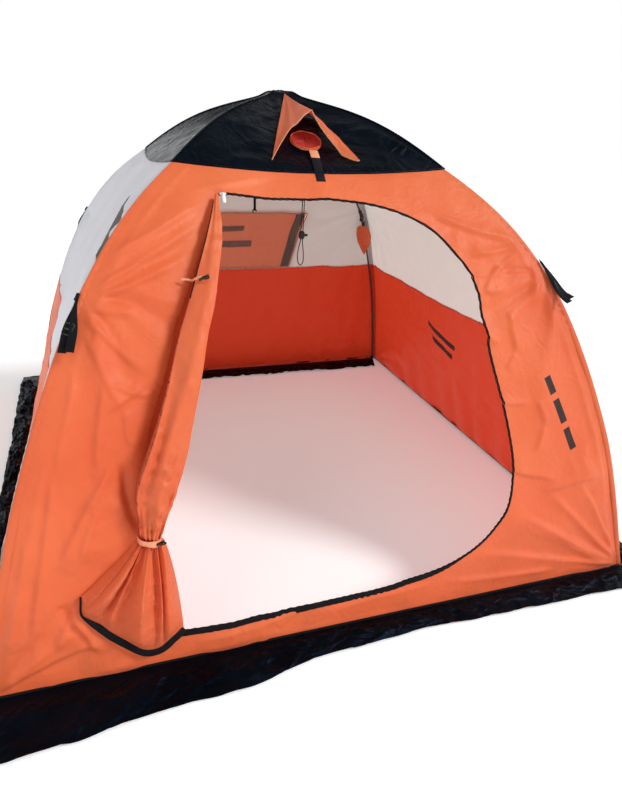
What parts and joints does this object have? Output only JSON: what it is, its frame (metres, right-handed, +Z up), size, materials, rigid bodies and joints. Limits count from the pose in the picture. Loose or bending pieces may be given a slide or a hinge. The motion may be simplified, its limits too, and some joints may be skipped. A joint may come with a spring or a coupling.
{
  "type": "ice fishing shelter",
  "caption": "Pop-up ice fishing shelter: square quilted canopy on a folding umbrella frame, open arched doorway, roof vent, netted window and snow skirt.",
  "frame": {"origin": "centre of the floor square, on the ice", "axes": "+Z up; the doorway faces -Y; +X to the right as seen from outside the doorway"},
  "size_m": [2.26, 2.26, 1.4999],
  "materials": {
    "orange_cloth": "quilted polyester, thin water-shedding face, slight sheen",
    "pale_cloth": "quilted polyester, off-white",
    "roof_cloth": "coated black polyester, satin and creased",
    "skirt_film": "coated black skirt cloth, glossy and crumpled",
    "webbing": "woven black polypropylene tape and cord",
    "netting": "fine mosquito netting",
    "zip_plastic": "pale moulded zip slider",
    "black_plastic": "moulded nylon, satin",
    "rod": "pultruded glass-fibre rod, dark satin",
    "steel": "zinc-plated steel",
    "foot_rubber": "moulded rubber, matt"
  },
  "bodies": {
    "canopy": {"roof_front": "roof_cloth", "roof_right": "roof_cloth", "roof_back": "roof_cloth", "roof_left": "roof_cloth", "wall_front": "orange_cloth", "wall_right_upper": "pale_cloth", "wall_right_lower": "orange_cloth", "wall_back_upper": "pale_cloth", "wall_back_lower": "orange_cloth", "wall_left_upper": "pale_cloth", "wall_left_lower": "orange_cloth", "snow_skirt": "skirt_film", "window_netting": "netting", "door_zip_tape": "webbing", "door_panel_rolled": "orange_cloth", "door_tie_upper": "webbing", "door_tie_lower": "webbing", "vent_hood": "orange_cloth", "vent_sleeve": "orange_cloth", "vent_cord": "webbing", "hub_crown": "black_plastic", "hub_cover": "black_plastic", "hub_ring_wire": "steel"},
    "upper_leg_front_right": {"upper_rod_front_right": "rod", "knee_upper_front_right": "black_plastic", "knee_pin_front_right": "steel"},
    "upper_leg_back_right": {"upper_rod_back_right": "rod", "knee_upper_back_right": "black_plastic", "knee_pin_back_right": "steel"},
    "upper_leg_back_left": {"upper_rod_back_left": "rod", "knee_upper_back_left": "black_plastic", "knee_pin_back_left": "steel"},
    "upper_leg_front_left": {"upper_rod_front_left": "rod", "knee_upper_front_left": "black_plastic", "knee_pin_front_left": "steel"},
    "lower_leg_front_right": {"knee_lower_front_right": "black_plastic", "lower_rod_front_right": "rod", "foot_tip_front_right": "foot_rubber", "knee_tab_front_right": "orange_cloth"},
    "lower_leg_back_right": {"knee_lower_back_right": "black_plastic", "lower_rod_back_right": "rod", "foot_tip_back_right": "foot_rubber", "knee_tab_back_right": "orange_cloth"},
    "lower_leg_back_left": {"knee_lower_back_left": "black_plastic", "lower_rod_back_left": "rod", "foot_tip_back_left": "foot_rubber", "knee_tab_back_left": "orange_cloth"},
    "lower_leg_front_left": {"knee_lower_front_left": "black_plastic", "lower_rod_front_left": "rod", "foot_tip_front_left": "foot_rubber", "knee_tab_front_left": "orange_cloth"},
    "guy_strap_front_right": {"guy_strap_front_right": "webbing"},
    "guy_strap_back_right": {"guy_strap_back_right": "webbing"},
    "guy_strap_back_left": {"guy_strap_back_left": "webbing"},
    "guy_strap_front_left": {"guy_strap_front_left": "webbing"},
    "vent_strap": {"vent_strap": "webbing"},
    "window_flap": {"window_flap": "orange_cloth"},
    "window_tie": {"window_tie": "webbing"},
    "cord_lock": {"cord_lock": "black_plastic"},
    "door_zip_slider": {"door_zip_slider": "zip_plastic"}
  },
  "joints": [
    {"name": "hub_fold_front_right", "type": "hinge", "parent": "canopy", "child": "upper_leg_front_right", "pos_m": [0.02828, -0.02828, 1.45], "axis": [0.7071, 0.7071, 0], "range_deg": [0, 42]},
    {"name": "hub_fold_back_right", "type": "hinge", "parent": "canopy", "child": "upper_leg_back_right", "pos_m": [0.02828, 0.02828, 1.45], "axis": [-0.7071, 0.7071, 0], "range_deg": [0, 42]},
    {"name": "hub_fold_back_left", "type": "hinge", "parent": "canopy", "child": "upper_leg_back_left", "pos_m": [-0.02828, 0.02828, 1.45], "axis": [-0.7071, -0.7071, 0], "range_deg": [0, 42]},
    {"name": "hub_fold_front_left", "type": "hinge", "parent": "canopy", "child": "upper_leg_front_left", "pos_m": [-0.02828, -0.02828, 1.45], "axis": [0.7071, -0.7071, 0], "range_deg": [0, 42]},
    {"name": "knee_fold_front_right", "type": "hinge", "parent": "upper_leg_front_right", "child": "lower_leg_front_right", "pos_m": [0.67321, -0.67321, 0.93462], "axis": [0.7071, 0.7071, 0], "range_deg": [0, 141.6]},
    {"name": "knee_fold_back_right", "type": "hinge", "parent": "upper_leg_back_right", "child": "lower_leg_back_right", "pos_m": [0.67321, 0.67321, 0.93462], "axis": [-0.7071, 0.7071, 0], "range_deg": [0, 141.6]},
    {"name": "knee_fold_back_left", "type": "hinge", "parent": "upper_leg_back_left", "child": "lower_leg_back_left", "pos_m": [-0.67321, 0.67321, 0.93462], "axis": [-0.7071, -0.7071, 0], "range_deg": [0, 141.6]},
    {"name": "knee_fold_front_left", "type": "hinge", "parent": "upper_leg_front_left", "child": "lower_leg_front_left", "pos_m": [-0.67321, -0.67321, 0.93462], "axis": [0.7071, -0.7071, 0], "range_deg": [0, 141.6]},
    {"name": "guy_strap_swing_front_right", "type": "hinge", "parent": "canopy", "child": "guy_strap_front_right", "pos_m": [0.69613, -0.69613, 0.99045], "axis": [-0.7071, -0.7071, 0], "range_deg": [0, 75]},
    {"name": "guy_strap_swing_back_right", "type": "hinge", "parent": "canopy", "child": "guy_strap_back_right", "pos_m": [0.69613, 0.69613, 0.99045], "axis": [0.7071, -0.7071, 0], "range_deg": [0, 75]},
    {"name": "guy_strap_swing_back_left", "type": "hinge", "parent": "canopy", "child": "guy_strap_back_left", "pos_m": [-0.69613, 0.69613, 0.99045], "axis": [0.7071, 0.7071, 0], "range_deg": [0, 75]},
    {"name": "guy_strap_swing_front_left", "type": "hinge", "parent": "canopy", "child": "guy_strap_front_left", "pos_m": [-0.69613, -0.69613, 0.99045], "axis": [-0.7071, 0.7071, 0], "range_deg": [0, 75]},
    {"name": "vent_strap_lift", "type": "hinge", "parent": "canopy", "child": "vent_strap", "pos_m": [0.004, -0.40206, 1.29348], "axis": [-1, 0, 0], "range_deg": [0, 110]},
    {"name": "window_flap_lift", "type": "hinge", "parent": "canopy", "child": "window_flap", "pos_m": [0, 0.69265, 0.98472], "axis": [1, 0, 0], "range_deg": [0, 120]},
    {"name": "window_tie_swing", "type": "hinge", "parent": "canopy", "child": "window_tie", "pos_m": [0.074, 0.61562, 1.085], "axis": [1, 0, 0], "range_deg": [-70, 30]},
    {"name": "cord_lock_slide", "type": "slide", "parent": "canopy", "child": "cord_lock", "axis": [0, 0, 1], "range_m": [0, 0.1]},
    {"name": "door_zip_travel", "type": "slide", "parent": "canopy", "child": "door_zip_slider", "axis": [0.999, -0.0322, -0.0307], "range_m": [0, 0.28]}
  ],
  "couplings": [
    {"joint": "hub_fold_back_right", "follows": "hub_fold_front_right", "ratio": 1},
    {"joint": "hub_fold_back_left", "follows": "hub_fold_front_right", "ratio": 1},
    {"joint": "hub_fold_front_left", "follows": "hub_fold_front_right", "ratio": 1}
  ]
}
